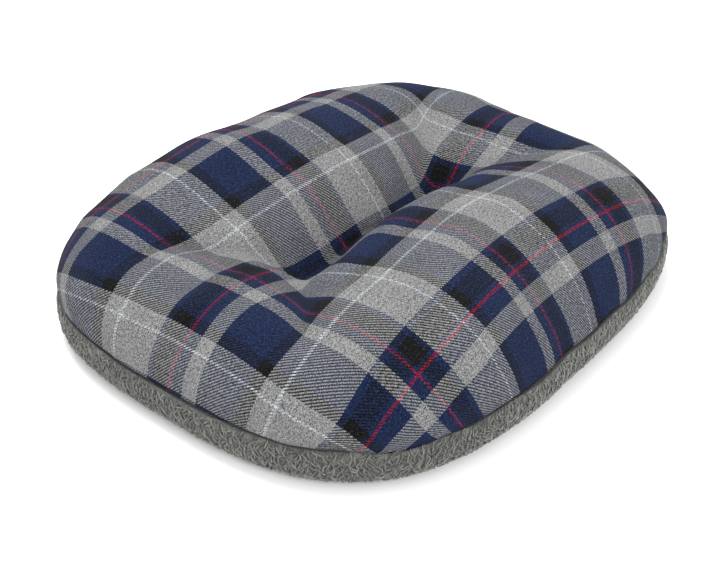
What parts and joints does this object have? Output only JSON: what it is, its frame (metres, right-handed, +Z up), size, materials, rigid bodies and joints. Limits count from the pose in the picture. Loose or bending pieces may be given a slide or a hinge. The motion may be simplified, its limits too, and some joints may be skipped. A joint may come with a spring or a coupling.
{
  "type": "pet cushion bed",
  "caption": "Low tufted floor cushion for a pet: rounded rectangle, tartan wool-look top with a deep tied valley, curly fleece base and rim.",
  "frame": {"origin": "on the floor, under the middle of the cushion", "axes": "+Z up; +X along the length, the way the two ties lie; +Y across the width, towards the side whose seam was closed by hand"},
  "size_m": [0.61, 0.52, 0.1401],
  "materials": {
    "tartan_cloth": "brushed",
    "berber_fleece": "curly pile",
    "hollow_fibre": "soft fibre",
    "sewing_thread": "satin",
    "hand_thread": "satin",
    "waxed_twine": "waxed"
  },
  "bodies": {
    "root": {"top_panel": "tartan_cloth", "base_panel": "berber_fleece", "filling": "hollow_fibre", "seam_needle_thread": "sewing_thread", "seam_bobbin_thread": "sewing_thread", "overlock_thread": "sewing_thread", "closing_thread": "hand_thread", "tuft_tie_1": "waxed_twine", "tuft_tie_2": "waxed_twine"}
  },
  "joints": []
}
